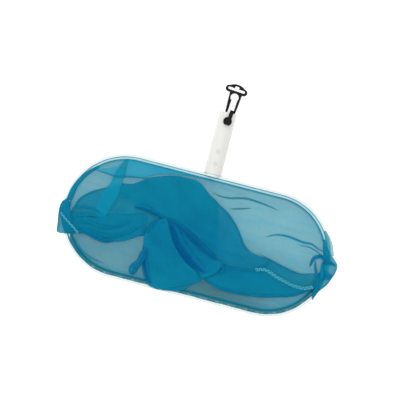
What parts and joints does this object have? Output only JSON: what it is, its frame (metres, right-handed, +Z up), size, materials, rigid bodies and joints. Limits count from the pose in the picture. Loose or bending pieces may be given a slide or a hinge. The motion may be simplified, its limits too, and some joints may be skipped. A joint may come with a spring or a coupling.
{
  "type": "pool leaf skimmer net",
  "caption": "Flat pool skimmer head: an oblong rim with a fine mesh bag held in a groove, and a tube socket with a snap clip for a pole and a clip-in hanger.",
  "frame": {"origin": "on the axis of the pole socket at its base, where the end of a pole seats against the rim", "axes": "+Y out along the socket, +X along the hoop's long axis, +Z up through the side the net lies on"},
  "size_m": [0.4512, 0.3471, 0.0329],
  "materials": {
    "rim_white": "moulded polypropylene, low gloss",
    "socket_white": "extruded plastic tube, satin",
    "screw_steel": "stainless",
    "bead_blue": "soft extruded bead",
    "mesh_blue": "fine knitted nylon mesh",
    "seam_blue": "overlock thread",
    "clip_black": "acetal spring clip",
    "hanger_black": "moulded polypropylene"
  },
  "bodies": {
    "skimmer": {"hoop_frame": "rim_white", "handle_socket": "socket_white", "socket_screws": "screw_steel", "net_spline": "bead_blue", "net_hem": "mesh_blue", "net_bag": "mesh_blue", "side_seam_left": "seam_blue", "side_seam_right": "seam_blue", "clip_spring": "clip_black"},
    "clip_arm": {"clip_leg": "clip_black", "clip_button": "clip_black"},
    "hanger": {"hanger_body": "hanger_black"},
    "tongue": {"hanger_tongue": "hanger_black"}
  },
  "joints": [
    {"name": "clip_press", "type": "hinge", "parent": "skimmer", "child": "clip_arm", "pos_m": [0, 0.0535, 0.0048], "axis": [-1, 0, 0], "range_deg": [0, 6], "stiffness_Nm_per_rad": 0.3, "springref_deg": -2.01},
    {"name": "hanger_slide", "type": "slide", "parent": "skimmer", "child": "hanger", "axis": [0.0732, 0.9973, 0], "range_m": [0, 0.25]},
    {"name": "hanger_tongue_flex", "type": "hinge", "parent": "hanger", "child": "tongue", "pos_m": [0.00527, 0.10316, 0.0059], "axis": [-0.9973, 0.0732, 0], "range_deg": [0, 20], "stiffness_Nm_per_rad": 0.05, "springref_deg": -2.86}
  ]
}
